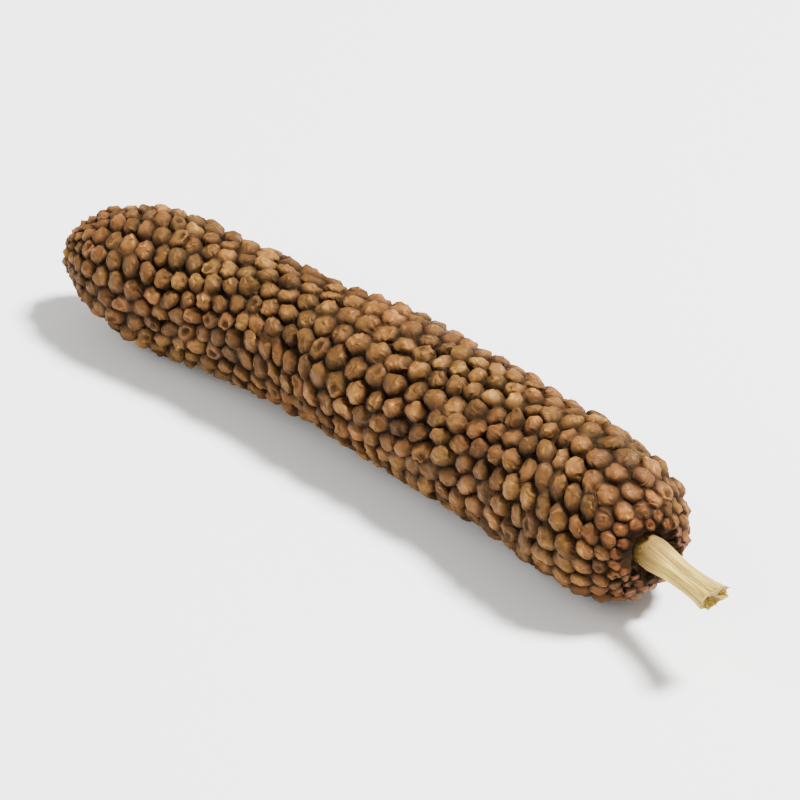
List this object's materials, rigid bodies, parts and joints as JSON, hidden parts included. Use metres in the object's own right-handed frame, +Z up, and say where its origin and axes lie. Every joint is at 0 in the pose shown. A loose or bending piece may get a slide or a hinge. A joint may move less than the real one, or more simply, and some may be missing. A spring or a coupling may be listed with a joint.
{
  "type": "long pepper",
  "caption": "Dried long pepper: a slim, slightly bowed fruiting spike of tiny berries in spiral rows, lying on its side, with a short pale cut stalk in the pit at its thick end.",
  "frame": {"origin": "on the surface that the pepper lies on, below the middle of the whole pepper with its stalk", "axes": "+X along the pepper towards its stalk, +Y towards the outside of its bow, +Z up"},
  "size_m": [0.0376, 0.0072, 0.0064],
  "materials": {
    "berries": "dry brown skin, a little glossy on the tops of the berries, near black in the creases",
    "stalk": "dry pale straw-coloured fibre, matt"
  },
  "bodies": {
    "root": {"fruit_spike": "berries", "stalk": "stalk"}
  },
  "joints": []
}
